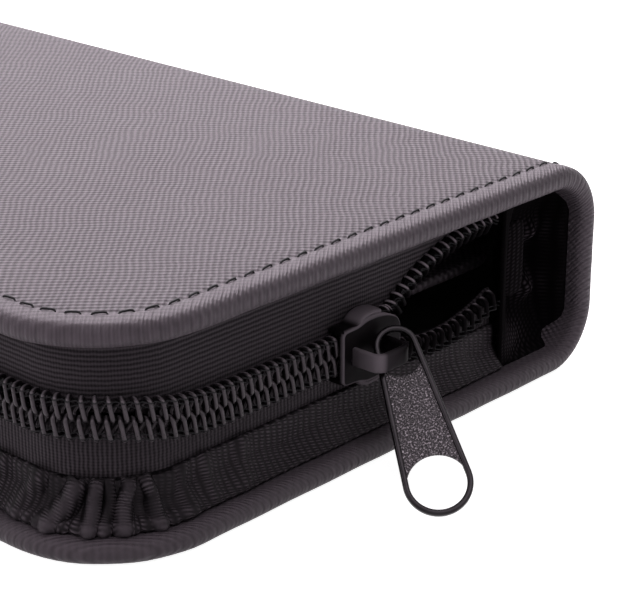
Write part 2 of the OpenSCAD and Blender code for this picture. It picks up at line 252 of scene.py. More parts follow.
def piece(name, parts, material, weld=False):
    """An object from parts of points in mm, faces and lay; weld closes its seams."""
    points, lay = (np.concatenate([part[k] for part in parts]) for k in (0, 2))
    starts = np.cumsum([0] + [len(part[0]) for part in parts])
    faces = np.concatenate([part[1] + start for part, start in zip(parts, starts)])
    mesh = bpy.data.meshes.new(name)
    mesh.from_pydata((points * MM).tolist(), [], faces.tolist())
    attribute = mesh.attributes.new("lay", "FLOAT_VECTOR", "POINT")
    attribute.data.foreach_set("vector", lay.astype(np.float32).ravel())
    made = bpy.data.objects.new(name, mesh)
    scene.collection.objects.link(made)
    if weld:
        held = bmesh.new()
        held.from_mesh(mesh)
        bmesh.ops.remove_doubles(held, verts=held.verts, dist=WELD_REACH)
        held.to_mesh(mesh)
        held.free()
    mesh.polygons.foreach_set("use_smooth", np.ones(len(mesh.polygons), bool))
    mesh.materials.append(material)
    return made


def wrapped(s, y, depth, front=False):
    """Wraps flat leather round the fold: s runs from the fore-edge over the cover,
    a quarter circle and up the spine; depth is measured in from the outer face."""
    turn = np.clip((s - FLAT) / FOLD, 0, math.pi / 2)
    radius = FOLD - depth
    x = LEFT + np.minimum(s, FLAT) + radius * np.sin(turn)
    z = FOLD - radius * np.cos(turn) + np.maximum(s - FLAT - ARC, 0)
    return stacked(x, y, TALL - z if front else z)


along_s = np.concatenate([
    np.linspace(CORNER, FLAT, FLAT_ROWS)[:-1],
    np.linspace(FLAT, FLAT + ARC, FOLD_ROWS)[:-1],
    np.linspace(FLAT + ARC, CUT, SPINE_ROWS),
])
along_y = np.linspace(-END + CORNER, END - CORNER, LONG_ROWS)
panel_s, panel_y = np.meshgrid(along_s, along_y, indexing="ij")


def edge_line():
    """The leather's free edge from the spine along the near end, round the
    fore-edge and back along the far end: its core point, where an inset equal to
    the corner's radius would reach, and its outward direction."""
    back_s = along_s[::-1]
    swing = np.linspace(0, math.pi / 2, CORNER_ROWS)[1:-1]
    core = np.concatenate([
        stacked(back_s, along_y[0]),
        np.tile([[CORNER, along_y[0]]], (len(swing), 1)),
        stacked(CORNER, along_y),
        np.tile([[CORNER, along_y[-1]]], (len(swing), 1)),
        stacked(along_s, along_y[-1]),
    ])
    angle = np.concatenate([
        np.full(len(back_s), -math.pi / 2),
        -math.pi / 2 - swing,
        np.full(len(along_y), -math.pi),
        -math.pi - swing,
        np.full(len(along_s), -3 * math.pi / 2),
    ])
    return core, stacked(np.cos(angle), np.sin(angle))


def run_along(line):
    """The length along a line of points, up to each of them."""
    return np.concatenate([[0], np.cumsum(np.linalg.norm(np.diff(line, axis=0), axis=1))])


core, outward = edge_line()
edge_run = run_along(core + CORNER * outward)


def drawn_in(inset):
    """The edge line's s and y, drawn in by each of the insets."""
    plan = core[:, None] + (CORNER - inset)[None, :, None] * outward[:, None]
    return plan[..., 0], plan[..., 1]


TURN_IN, ROLL, STITCH_IN = 11.0, WALL / 2, 4.0
nose_turn = np.linspace(math.pi / 2, -math.pi / 2, 13)
edge_section = np.concatenate([  # inset and depth: turned in, round the nose, stitched, flat
    [[TURN_IN, 2.8], [TURN_IN, 3.15], [10.7, 3.26], [9.5, 3.22], [7, 3.2], [4.5, 3.2],
     [2.8, 3.2]],
    stacked(ROLL - ROLL * np.cos(nose_turn), ROLL + ROLL * np.sin(nose_turn)),
    [[2.4, -0.06], [3.1, -0.04], [3.6, 0.06], [STITCH_IN, 0.2], [4.4, 0.07], [5.0, 0],
     [7, 0], [10, 0], [13.5, 0], [CORNER, 0]],
])
ROLL_CREST, ROLL_REACH, ROLL_END, RIPPLE = 1.2, 3.2, 4.2, 0.035


def leather_lay(s, y, lip, front):
    """Where a point lies on the hide, in mm. The two cuts meet at the spine's
    middle, and the third number tells the rolled edge from the flat."""
    return stacked(s - CUT if front else CUT - s, y, lip)


def cover_leather(front):
    """The rolled edge is the section carried along the edge line; the panel is a
    grid of straight and wrapped rows. Both bend round the fold."""
    inset, depth = edge_section[:, 0], edge_section[:, 1]
    s, y = drawn_in(inset)
    roll = np.clip(1 - np.abs(inset - ROLL_CREST) / ROLL_REACH, 0, 1) ** 0.5
    roll = roll * (inset < ROLL_END)
    ripple = RIPPLE * np.sin(edge_run * 0.61 + 1.3 * np.sin(edge_run * 0.13))
    edge = wrapped(s, y, depth + ripple[:, None] * roll, front)
    panel = wrapped(panel_s, panel_y, 0, front)
    return [
        sheet_part(edge, leather_lay(s, y, roll, front), flip=front),
        sheet_part(panel, leather_lay(panel_s, panel_y, 0, front), flip=not front),
    ]


def lay_of(w):
    """The lay attribute: the whole vector, and its three numbers as wires."""
    read = w.node("Attribute", {"attribute_name": "lay"}, output="Vector")
    split = w.node("SeparateXYZ", None, {0: read}).socket.node.outputs
    return read, [Wire(w.tree, split[i]) for i in range(3)]


def noise(w, where, scale, detail=2.0):
    """Soft noise round 0.5, by the vector where."""
    return w.node("TexNoise", None, {"Vector": where, "Scale": scale, "Detail": detail})


def ridges(w, across, wave, pitch):
    """Rounded parallel ridges, from 0 to 1, a pitch apart in mm."""
    return w.maths("SINE", (across + wave) * (2 * math.pi / pitch)) * 0.5 + 0.5


def bumped(w, strength, metres, height):
    """A normal tilted by the slopes of a height, which is metres deep."""
    return w.node("Bump", None, {"Strength": strength, "Distance": metres, "Height": height})


def gloss(level, ior=1.5):
    """The constants of a surface whose gloss has a trace of mauve."""
    return {"IOR": ior, "Specular IOR Level": level, "Specular Tint": (1, 0.86, 0.96, 1)}


BOLD_PITCH, FINE_PITCH, LIP_PITCH = 0.83, 0.95, 0.47
HIDE_PIT, HIDE_CREST = (0.004, 0.0033, 0.0038), (0.123, 0.104, 0.119)


def grained_leather(w):
    """Two crossing sets of wavy ridges pressed into the hide, the first bolder.
    The rolled edge has one close set of ribs across it, and a painted
    highlight that lifts its tone."""
    where, (u, v, lip) = lay_of(w)
    wave = noise(w, where, 0.06) * 2.4 + noise(w, where, 0.5) * 0.22
    slant = u * -0.66 + v * 0.75
    bold = ridges(w, slant, wave, BOLD_PITCH)
    fine = ridges(w, u * 0.70 + v * 0.71, wave * 0.3, FINE_PITCH)
    rib = ridges(w, slant, wave * 0.6, LIP_PITCH)
    pressed = (bold * 0.5 + fine * 0.5) * (noise(w, where, 1.3) * 0.8 + 0.6)
    # painted highlight: the rolled edge's share lifts its tone above the flat grain's
    pressed = pressed * (1.0 - lip * 0.8) + (rib * 0.26 + 0.38) * lip
    pores = noise(w, where, 7.0, 3.0)
    blotch = noise(w, where, 0.05, 3.0)
    return {
        "Base Color": mixed(w, pressed * 0.85 + blotch * 0.15, HIDE_PIT, HIDE_CREST),
        "Roughness": 0.56 - pressed * 0.14 + blotch * 0.08,
        "Normal": bumped(w, 1.0, 0.00023, pressed + pores * 0.4),
    }


hide = finish("grained_leather", gloss(0.28), grained_leather)
back_leather = piece("back_leather", cover_leather(False), hide, weld=True)
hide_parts("back_skin")
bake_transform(back_leather)

front_leather = piece("front_leather", cover_leather(True), hide, weld=True)
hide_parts("front_skin", "spine_skin")
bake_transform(front_leather)

# ---------------------------------------------------------------- edge stitching
# A row of black waxed thread holds each turned-in edge, four millimetres in.
# Every stitch dives into the leather at both ends.

STITCH_PITCH, STITCH_L, STITCH_SLANT, THREAD_R = 3.1, 2.3, 0.16, 0.15
DIVE_FLAT, DIVE_BOW, DIVE_END = 0.10, 0.2, 0.35


def round_angles(sides):
    """Even angles round a full turn, one for each side."""
    return np.linspace(0, 2 * math.pi, sides + 1)[:-1]


def tube_part(rings, lay, closed=False):
    """A skin from rings of points. Unless closed on itself, each end is drawn
    together on its middle. Its faces look outwards."""
    if not closed:
        rings, lay = (
            np.concatenate([np.broadcast_to(grid[0].mean(0), grid[:1].shape), grid,
                            np.broadcast_to(grid[-1].mean(0), grid[:1].shape)])
            for grid in (rings, lay)
        )
    points, faces, lay = sheet_part(rings, lay, wrap=True)
    a, b, c, d = (points[faces] - points.mean(0)).transpose(1, 0, 2)
    volume = np.sum(a * np.cross(b, c)) + np.sum(a * np.cross(c, d))
    return points, faces if volume > 0 else faces[:, ::-1], lay


def edge_stitches(front):
    """Each stitch is a round thread along a short bow, slanted to the edge."""
    line = core + (CORNER - STITCH_IN) * outward
    run = run_along(line)
    at = np.arange(STITCH_PITCH / 2, run[-1], STITCH_PITCH)
    middle, ahead, behind = (
        np.stack([np.interp(at + near, run, line[:, k]) for k in (0, 1)], -1)
        for near in (0, 0.3, -0.3)
    )
    heading = np.arctan2(*(ahead - behind).T[::-1]) + (STITCH_SLANT if front else -STITCH_SLANT)
    along = stacked(np.cos(heading), np.sin(heading))
    aside = stacked(-along[:, 1], along[:, 0])
    step = np.linspace(-1, 1, 8)
    ring = round_angles(6)
    rise = DIVE_FLAT - DIVE_BOW * (1 - step**4) + DIVE_END * step**8
    plan = (
        middle[:, None, None]
        + along[:, None, None] * (step * STITCH_L / 2)[None, :, None, None]
        + aside[:, None, None] * (THREAD_R * np.cos(ring))[None, None, :, None]
    )
    depth = rise[:, None] + THREAD_R * np.sin(ring)
    points = wrapped(plan[..., 0], plan[..., 1], depth, front)
    lay = stacked(step[:, None] * STITCH_L / 2, ring, 0.0)
    return [tube_part(stitch, lay) for stitch in points]


THREAD_DARK, THREAD_PALE = (0.006, 0.006, 0.007), (0.022, 0.020, 0.023)


def thread_twist(w):
    """Plies that wind round the thread."""
    _, (run, turn, _) = lay_of(w)
    ply = w.maths("SINE", run * 14.0 + turn * 2.0) * 0.5 + 0.5
    return {
        "Base Color": mixed(w, ply, THREAD_DARK, THREAD_PALE),
        "Normal": bumped(w, 0.6, 0.00004, ply),
    }


thread = finish("waxed_thread", {"Roughness": 0.6, "Specular IOR Level": 0.2}, thread_twist)
back_stitches = piece("back_stitches", edge_stitches(False), thread, weld=True)
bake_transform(back_stitches)
front_stitches = piece("front_stitches", edge_stitches(True), thread, weld=True)
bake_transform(front_stitches)

# ---------------------------------------------------------------- boards and lining
# Grey board stiffens both covers and the spine, hidden inside the leather.
# Black brushed cloth lines the inside, with its edge under the turned-in leather.

BOARD_DARK, BOARD_PALE = (0.20, 0.17, 0.13), (0.34, 0.29, 0.23)


def object_spot(w):
    """The point's place in its object's own frame, in metres."""
    return w.node("TexCoord", output="Object")


def grey_board(w):
    """Pressed fibres, lighter and darker by patches."""
    fibre = noise(w, object_spot(w), 900.0, 4.0)
    return {"Base Color": mixed(w, fibre, BOARD_DARK, BOARD_PALE)}


board = finish("grey_board", {"Roughness": 0.9}, grey_board)
for name in ("back_board", "spine_board", "front_board"):
    board_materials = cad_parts[name].data.materials
    board_materials.clear()
    board_materials.append(board)

LINING_IN = TURN_IN - 0.5
CLOTH_DARK, CLOTH_PALE = (0.010, 0.010, 0.011), (0.040, 0.038, 0.042)


def lining(front):
    """The same wrapped panel, inset under the leather's turned-in edge."""
    inset = np.array([LINING_IN, TURN_IN + 1.0, 14.0, CORNER])
    depth = np.array([2.9, 2.95, 2.97, 2.97])
    s, y = drawn_in(inset)
    rim = wrapped(s, y, depth, front)
    panel = wrapped(panel_s, panel_y, depth[-1], front)
    return [
        sheet_part(rim, stacked(s, y, 0.0), flip=not front),
        sheet_part(panel, stacked(panel_s, panel_y, 0.0), flip=front),
    ]


def brushed_cloth(w):
    """A fine twill under a short nap."""
    where, (u, v, _) = lay_of(w)
    fuzz = noise(w, where, 3.0, 4.0)
    twill = ridges(w, u * 0.7 + v * 0.7, fuzz * 0.4, 0.7)
    nap = twill * 0.5 + fuzz * 0.5
    return {
        "Base Color": mixed(w, nap, CLOTH_DARK, CLOTH_PALE),
        "Normal": bumped(w, 0.7, 0.0001, nap),
    }


cloth = finish("brushed_cloth", {"Roughness": 0.92}, brushed_cloth)
back_cloth = piece("back_cloth", lining(False), cloth, weld=True)
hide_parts("back_lining")
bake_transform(back_cloth)
front_cloth = piece("front_cloth", lining(True), cloth, weld=True)
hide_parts("front_lining", "spine_lining")
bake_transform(front_cloth)

# ---------------------------------------------------------------- gusset
# A soft leather strip joins the back cover's turned-in edge to the zip tape. It
# is gathered into pleats round the two fore-edge corners.

ZIP_IN, SEAM_X = 4.0, 29.5
ZIP_R = CORNER - ZIP_IN
RUN_NEAR = SEAM_X - LEFT - CORNER
RUN_ARC = ZIP_R * math.pi / 2
RUN_SIDE = 2 * (END - CORNER)
RUN_KNOTS = np.cumsum([0, RUN_NEAR, RUN_ARC, RUN_SIDE, RUN_ARC, RUN_NEAR])
ROUND = RUN_KNOTS[-1]


def round_case(run, depth, z):
    """A point at a depth from the case's edge, after a run along the zip line
    from the near seam round the fore-edge to the far seam."""
    inner_x, inner_y = LEFT + CORNER, END - CORNER
    x = np.interp(run, RUN_KNOTS, [SEAM_X, inner_x, inner_x, inner_x, inner_x, SEAM_X])
    y = np.interp(run, RUN_KNOTS, [-inner_y, -inner_y, -inner_y, inner_y, inner_y, inner_y])
    a = np.interp(run, RUN_KNOTS, np.radians([-90, -90, -180, -180, -270, -270]))
    reach = CORNER - depth
    return stacked(x + reach * np.cos(a), y + reach * np.sin(a), z)


PLEATS = [  # near corner: run at the foot and at the top, half width, height, in mm
    (51.5, 50.6, 1.7, 0.55), (56.4, 57.2, 0.9, 0.40), (60.9, 60.3, 1.0, 0.75),
    (64.7, 65.9, 0.55, 1.35), (68.8, 68.0, 0.60, 1.75), (70.9, 70.3, 0.45, 1.25),
    (73.0, 71.3, 0.60, 1.85), (77.4, 73.8, 1.15, 1.80), (82.0, 79.6, 1.60, 1.20),
    (87.0, 86.2, 1.30, 0.80),
]
GUSSET_FOOT, GUSSET_TOP, GUSSET_WALL = 3.3, 9.6, 0.6
GUSSET_DEPTH, GUSSET_HOLLOW, GUSSET_SLOPE = 2.55, 2.15, 0.35
SEWN_DEPTH, DEEPEST, DENT, FOOT_ROLL = 4.6, 4.9, 0.42, 0.8
FINE_FROM, FINE_TO, FINE_STEP, PLAIN_STEP = 48, 92, 0.2, 0.9
GATHER_FROM, GATHER_TO = 58, 86


def smooth(share):
    """Eases a share between 0 and 1 in and out."""
    share = np.clip(share, 0, 1)
    return share * share * (3 - 2 * share)


def gusset_sheet():
    """Depth follows a hollow section, less the tallest pleat that crosses it, with
    long dents and a roll at the gathered foot. Its top edge lies flat where it is
    sewn to the tape. The columns stand closer round the corners."""
    plain = np.arange(0, FINE_FROM - 0.5, PLAIN_STEP)
    fine = np.arange(FINE_FROM, FINE_TO, FINE_STEP)
    side = np.arange(FINE_TO + 0.5, ROUND - FINE_TO, PLAIN_STEP)
    run = np.concatenate([plain, fine, side, ROUND - fine[::-1], ROUND - plain[::-1]])
    t, v = np.meshgrid(run, np.linspace(0, 1, 21), indexing="ij")
    z = GUSSET_FOOT + (GUSSET_TOP - GUSSET_FOOT) * v
    depth = GUSSET_DEPTH + GUSSET_HOLLOW * np.clip(v / 0.55, 0, 1) ** 0.7 + GUSSET_SLOPE * v
    swell = np.sin(t * 0.37 + 1.9 * np.sin(t * 0.11)) * np.sin(t * 0.173 + 0.7)
    dent = DENT * swell * np.sin(math.pi * v) * (1 + 0.4 * np.sin(2.3 * v + t * 0.2))
    fold, corner = np.zeros_like(t), np.zeros_like(t)
    for along in (t, ROUND - t):
        for foot, top, half, height in PLEATS:
            centre = foot + (top - foot) * v + 0.25 * np.sin(5 * v + foot)
            width = half * (1.25 - 0.5 * v)
            fold = np.maximum(fold, height * np.exp(-(((along - centre) / width) ** 2)))
        gathered = smooth((along - GATHER_FROM) / 6) * smooth((GATHER_TO - along) / 8)
        corner = np.maximum(corner, gathered)
    held = np.clip(v / 0.16, 0.1, 1) * np.clip((1.05 - v) / 0.16, 0, 1)
    roll = FOOT_ROLL * corner * np.exp(-(((v - 0.10) / 0.07) ** 2))
    depth = depth + (0.5 * corner - 1.15 * fold) * held
    depth = depth - roll * (1 + 0.25 * np.sin(t * 4.1)) + dent * (1 - 0.5 * corner)
    depth = np.where(v > 0.94, np.maximum(depth, SEWN_DEPTH), np.minimum(depth, DEEPEST))
    # painted light on the gathered corners: a painted highlight along each pleat's crest, painted
    # shade between the pleats above the foot
    painted_light = corner * (1.5 * np.clip(fold / 1.9, 0, 1) ** 1.5 * held - 0.75 * (v > 0.16))
    return [sheet_part(round_case(t, depth, z),
                       stacked(t + fold * 0.8, z * 1.2 + depth * 0.7, painted_light))]


SOFT_PIT, SOFT_CREST = (0.0035, 0.003, 0.0034), (0.105, 0.090, 0.102)


def soft_leather(w):
    """The cover's grain on a thinner, darker hide. The lay's third number is over
    0 for a painted highlight on a fold's crest, which also smooths the grain
    there, and under 0 for painted shade."""
    where, (u, v, painted_light) = lay_of(w)
    # painted highlight where the lay's third number is over 0, painted shade where it is under 0
    painted_highlight = w.maths("MAXIMUM", painted_light, 0.0)
    sunk = w.maths("MINIMUM", painted_light, 0.0)
    slow = noise(w, where, 0.12)
    bold = ridges(w, u, slow * 1.4, 1.05)
    fine = ridges(w, v - u * 0.29, slow * 1.0, 0.56)
    pressed = (bold * fine * (1.0 - painted_highlight * 0.85) + painted_highlight * 0.6) * (sunk + 1.0)
    return {
        "Base Color": mixed(w, pressed, SOFT_PIT, SOFT_CREST),
        "Roughness": 0.55 - pressed * 0.18,
        "Normal": bumped(w, 1.0, 0.00016, pressed),
    }


def walled(made):
    """Gives a leather sheet its thickness, on its inner side."""
    wall = made.modifiers.new("wall", "SOLIDIFY")
    wall.thickness = GUSSET_WALL * MM
    wall.offset = -1


soft_hide = finish("soft_leather", gloss(0.11), soft_leather)
pleated = piece("pleated_gusset", gusset_sheet(), soft_hide)
walled(pleated)
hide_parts("lower_gusset")
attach(pleated, "back")

# ---------------------------------------------------------------- zip tapes
# Woven black tape carries each coil. The lower tape is sewn to the gusset and
# the upper one to the front cover. Past the slider both stand open.

MIDDLE, LOW_Z, HIGH_Z = TALL / 2, WALL, TALL - WALL
LEG, COIL_T = 2.9, 2.0  # how far a coil reaches over its tape, and its thickness
TAPE_OUT, TAPE_T, TAPE_STEP, HEM = 5.05, 0.6, 1.2, 0.04
CLOSED_X, OPEN_X, OPEN_W = 0.4, 6.9, 21.8  # the closed line's end, the open line's x and width
T_MOUTH = SEAM_X - CLOSED_X
GAP, MOUTH_Z = 0.3, 1.25  # from a coil's line to its tape, and to the middle at the mouth
END_GAP, DIP, RISE = 8.6, 2.2, 2.0  # between the open lines at the seam, and their bows
RAISE, RAISE_FROM, RAISE_L = 2.2, 53.5, 18.5  # the closed zip's climb, and its run
ROLL_IN, ROLL_IN_L = math.radians(30), 6
RIB_PITCH, WEFT_PITCH = 0.62, 0.42
TAPE_DARK, TAPE_PALE = (0.005, 0.0043, 0.0049), (0.064, 0.055, 0.062)


def zip_height(run):
    """The closed zip rides higher round the corners and along the fore-edge."""
    return MIDDLE + RAISE * smooth((np.minimum(run, ROUND - run) - RAISE_FROM) / RAISE_L)


def roll_in(x, away, depth, ease):
    """Turns the upper open coil and its tape's edge inwards, about the coil's
    heels: away is the height over the line, ease the length that bends."""
    below, behind = LEG - away, depth - ZIP_IN - COIL_T / 2
    turn = ROLL_IN * smooth((x - OPEN_X) / ROLL_IN_L) * np.clip(below / ease, 0, 1)
    down = below * np.cos(turn) - behind * np.sin(turn)
    inward = below * np.sin(turn) + behind * np.cos(turn)
    return LEG - down, ZIP_IN + COIL_T / 2 + inward


def bowed(share, start, end, bow):
    """A parabola from start to end, with its middle a bow off the straight."""
    return start + (end - start) * share + 4 * bow * share * (1 - share)


def open_height(x, upper):
    """Height of the open coil's line at x, level before the slider's mouth."""
    share = np.clip((x - OPEN_X) / OPEN_W, 0, 1)
    if upper:
        return bowed(share, MIDDLE + MOUTH_Z, MIDDLE - GAP + END_GAP, RISE)
    return bowed(share, MIDDLE - MOUTH_Z, MIDDLE - GAP, -DIP)


def boxed(wave, power):
    """A sine or cosine pushed towards 1 and -1: a small power squares a circle."""
    return np.sign(wave) * np.abs(wave) ** power


def tape_shell(t, low, high, upper, rolled):
    """A strip of tape from the height low to the height high, with two faces and
    rounded selvedges: its closed section is carried along the run."""
    ring = round_angles(24)
    share = (np.clip(np.cos(ring) * 1.12, -1, 1) + 1) / 2
    z = low[:, None] + (high - low)[:, None] * share
    depth = TAPE_OUT + TAPE_T / 2 - TAPE_T / 2 * boxed(np.sin(ring), 0.35)
    run = t[:, None]
    lay = stacked(z, run, 0.0) if upper else stacked(run, z, 0.0)
    if rolled:
        line = low[:, None] - GAP
        away, depth = roll_in(SEAM_X - run, z - line, depth, 1.0)
        z = line + away
    return tube_part(round_case(run, depth, z), lay)


def woven(w):
    """Ribbed tape: cords along the lay's first number, crossed by fine weft."""
    where, (u, v, _) = lay_of(w)
    stray = noise(w, where, 0.8)
    rib = ridges(w, u, stray * 0.25, RIB_PITCH)
    yarn = rib * 0.75 + ridges(w, v, stray * 0.2, WEFT_PITCH) * 0.25
    return {
        "Base Color": mixed(w, yarn, TAPE_DARK, TAPE_PALE),
        "Roughness": 0.78 - rib * 0.16,
        "Normal": bumped(w, 0.9, 0.00014, yarn),
    }


t_closed = np.concatenate(
    [[T_MOUTH, T_MOUTH + HEM], np.arange(T_MOUTH + TAPE_STEP, ROUND, TAPE_STEP), [ROUND]]
)
t_open = np.concatenate([np.linspace(0, T_MOUTH, 40)[:-1], [T_MOUTH - HEM, T_MOUTH]])
tape_cloth = finish("ribbed_tape", gloss(0.16), woven)
TAPES = [
    ("lower_ribbed_tape", "lower_tape", "back", t_closed),
    ("lower_mouth_tape", "lower_open_tape", "back", t_open),
    ("upper_ribbed_tape", "upper_tape", "front", t_closed),
    ("upper_mouth_tape", "upper_open_tape", "front", t_open),
]
for name, node, body, t in TAPES:
    upper, is_open = body == "front", t is t_open
    line = open_height(SEAM_X - t, upper) if is_open else zip_height(t)
    low = line + GAP if upper else np.full(len(t), LOW_Z)
    high = np.full(len(t), HIGH_Z) if upper else line - GAP
    part = tape_shell(t, low, high, upper, rolled=upper and is_open)
    tape = piece(name, [part], tape_cloth, weld=True)
    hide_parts(node)
    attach(tape, body)

# ---------------------------------------------------------------- coils
# Each coil is one black nylon wire wound flat, its heads meshing with the other
# coil's. Two rows of thread sew it to its tape.

PITCH, WIRE = 1.55, 0.66
NOSE, SQUAT, LEAN = 0.45, 0.6, 0.17  # a head's reach past the line, its heel's flatness, its slope
SIDES, HIDDEN_TURNS = 8, 3  # round the wire, and of an open coil inside the slider
SEWN_AT, SEWN_R, SEWN_LOW, SEWN_HUMP = (-1.75, -2.35), 0.10, 0.42, 0.36
NYLON_DARK, NYLON_PALE = (0.003, 0.0026, 0.003), (0.014, 0.012, 0.0135)
# the colour of the painted highlight along the wire
NYLON_HIGHLIGHT = (0.62, 0.55, 0.60)


def one_turn(pitch):
    """One turn of wire: up the outer leg, round the head, down the inner leg and
    round the heel. Columns: run, height towards the other coil, depth."""
    reach = (COIL_T - WIRE) / 2
    head, heel = NOSE - WIRE / 2 - reach, -LEG + WIRE / 2 + reach * SQUAT
    outer = stacked(0.0, np.linspace(heel, head, 4), -reach)
    turn = np.linspace(math.pi, 0, 7)[1:-1]
    nose = stacked(0.0, head + reach * np.sin(turn), reach * np.cos(turn))
    inner = stacked(0.0, np.linspace(head, heel, 3), reach)
    turn = np.linspace(0, -math.pi, 6)[1:-1]
    under = stacked(0.0, heel + SQUAT * reach * np.sin(turn), reach * np.cos(turn))
    path = np.concatenate([outer, nose, inner, under])
    share = np.concatenate([np.zeros(len(outer) + len(nose)), np.linspace(0, 1, 3) * 0.9,
                            0.9 + 0.1 * np.linspace(0, 1, len(under))])
    path[:, 0] = LEAN * path[:, 1] + share * pitch
    return path


def unit(rows):
    """Each row's direction, one long."""
    return rows / np.linalg.norm(rows, axis=1)[:, None]


def path_sides(path, across):
    """Unit directions square to a path: one along across, one square to both."""
    tangent = unit(np.gradient(path, axis=0))
    side = unit(across - (tangent @ across)[:, None] * tangent)
    return side, np.cross(tangent, side)


def coil_tube(stations, pitch, painted_highlight):
    """Round wire along the turns, one per station; the first is left on the run.
    painted_highlight is how strong a painted highlight along the wire's
    outermost line is at heels, legs and heads."""
    path = (one_turn(pitch) + stacked(stations, 0.0, 0.0)[:, None]).reshape(-1, 3)
    first, second = path_sides(path, np.array([1.0, 0, 0]))
    ring = round_angles(SIDES)
    head = np.clip((path[:, 1] + 0.6) / 0.9, 0, 1)[:, None, None]
    across = WIRE / 2 * (1 + 0.16 * head)
    tube = (path[:, None] + across * first[:, None] * np.cos(ring)[None, :, None]
            + WIRE / 2 * second[:, None] * np.sin(ring)[None, :, None])
    heels, legs, heads = painted_highlight
    # painted highlight: a pale line along each wire's outermost side, standing in for the lamps'
    # glint
    tone_share = np.interp(path[:, 1], [-2.5, -2.2, 0.02, 0.12], [heels, legs, legs, heads])
    outer_line = np.clip((np.sin(ring) - 0.75) / 0.25, 0, 1)
    return tube, stacked(np.arange(len(path))[:, None], ring, tone_share[:, None] * outer_line)


def closed_point(local, upper):
    """Carries a coil's run, height and depth round the case's edge."""
    run, height, depth = local[..., 0], local[..., 1], local[..., 2]
    run = ROUND + T_MOUTH - run if upper else run
    z = zip_height(run) + (-height if upper else height)
    return round_case(run, ZIP_IN + depth, z)


def open_point(local, upper):
    """Carries a coil along the open line: square to it, and away from its tape."""
    x_line = np.linspace(CLOSED_X, SEAM_X + 3, 400)
    z_line = open_height(x_line, upper)
    step = run_along(stacked(x_line, z_line))
    along = np.interp(OPEN_X, x_line, step) - HIDDEN_TURNS * PITCH + local[..., 0]
    x, z = np.interp(along, step, x_line), np.interp(along, step, z_line)
    slope = np.arctan2(*(np.interp(along + 0.5, step, line) - np.interp(along - 0.5, step, line)
                         for line in (z_line, x_line)))
    height, depth = local[..., 1], ZIP_IN + local[..., 2]
    if upper:
        height, depth = roll_in(x, -height, depth, 0.01)
    return stacked(x - height * np.sin(slope), depth - END, z + height * np.cos(slope))


def sewing_thread(stations, pitch, height):
    """A thread that humps over each outer leg and dips between them."""
    run = np.arange(stations[0] - pitch, stations[-1] + pitch, pitch / 6)
    phase = (run - stations[0] - LEAN * height) / pitch
    depth = -COIL_T / 2 + SEWN_LOW - SEWN_HUMP * np.cos(2 * math.pi * phase)
    ring = round_angles(5)
    tube = stacked(
        run[:, None], height + SEWN_R * np.cos(ring), depth[:, None] + SEWN_R * np.sin(ring)
    )
    return tube, stacked(run[:, None], ring, 0.0)


def nylon(w):
    """Smooth drawn nylon, scuffed a little, with a painted highlight where the
    lay says.
    """
    _, (_, _, highlight_share) = lay_of(w)
    scuff = noise(w, object_spot(w), 1500.0, 3.0)
    drawn = mixed(w, scuff, NYLON_DARK, NYLON_PALE)
    return {
        "Base Color": mixed(w, highlight_share, drawn, NYLON_HIGHLIGHT),
        "Roughness": scuff * 0.25 + 0.20,
        "Normal": bumped(w, 0.25, 0.00004, scuff),
    }


wire = finish("black_nylon", gloss(0.33, 1.53), nylon)
dull_wire = finish("dull_nylon", gloss(0.006, 1.53), nylon)
closed_l = ROUND - T_MOUTH
turns = int(closed_l / PITCH) - 1
pitch = closed_l / (turns + 1)
COILS = [  # piece, node, body, carrier, wire, painted highlight at heels, legs and heads, stations, pitch
    ("lower_zip_coil", "lower_coil", "back", closed_point, wire, (0.22, 0.08, 0.44),
     T_MOUTH + (np.arange(turns) + 0.5) * pitch, pitch),
    ("upper_zip_coil", "upper_coil", "front", closed_point, wire, (0.34, 0.08, 0.38),
     T_MOUTH + np.arange(turns) * pitch, pitch),
]
for half, body, loops, painted_highlight in (
    ("lower", "back", 14, (0.02, 0.0, 0.6)), ("upper", "front", 16, (1.0, 0.0, 0.15))
):
    x_line = np.linspace(OPEN_X, OPEN_X + OPEN_W, 200)
    z_line = open_height(x_line, body == "front")
    line_l = np.hypot(np.diff(x_line), np.diff(z_line)).sum()
    count = loops + HIDDEN_TURNS
    step = (line_l + HIDDEN_TURNS * PITCH) / count
    COILS.append((half + "_mouth_coil", half + "_open_coil", body, open_point, dull_wire, painted_highlight,
                  (np.arange(count) + 0.5) * step, step))
for name, node, body, carry, nylon_wire, painted_highlight, stations, step in COILS:
    upper = body == "front"
    tube, lay = coil_tube(stations, step, painted_highlight)
    made = piece(name, [tube_part(carry(tube, upper), lay)], nylon_wire, weld=True)
    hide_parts(node)
    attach(made, body)
    parts = []
    for height in SEWN_AT:
        tube, lay = sewing_thread(stations, step, height)
        parts.append(tube_part(carry(tube, upper), lay))
    sewn = piece(name + "_thread", parts, thread, weld=True)
    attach(sewn, body)

# ---------------------------------------------------------------- end gussets
# A soft leather panel closes each end beside the spine. It sinks in between the
# covers and carries the short patch that holds the zip's two ends.

PANEL_X, PANEL_W, PANEL_Z, PANEL_H = 29.6, 15.1, 3.35, 24.3
BULGES = [(40.8, 19.8, 1.9), (40.4, 11.6, 2.1), (34.5, 6.0, 4.0)]  # x, height, half width
BULGE_RISE, BULGE_HALF_H = 2.6, 1.8
PANEL_DEPTH, PANEL_HOLLOW, PANEL_DENT = 2.9, 6.4, 0.7
PATCH_X, PATCH_Z, PATCH_HALF_W, PATCH_HALF_H = 32.7, 19.0, 2.0, 5.5
PATCH_DEPTH, PATCH_HALF_T, PATCH_SHADE = 3.5, 0.4, -0.8


def on_end(x, depth, z, far):
    """A point at a depth from the near end's face, or from the far end's."""
    return stacked(x, END - depth if far else -END + depth, z)


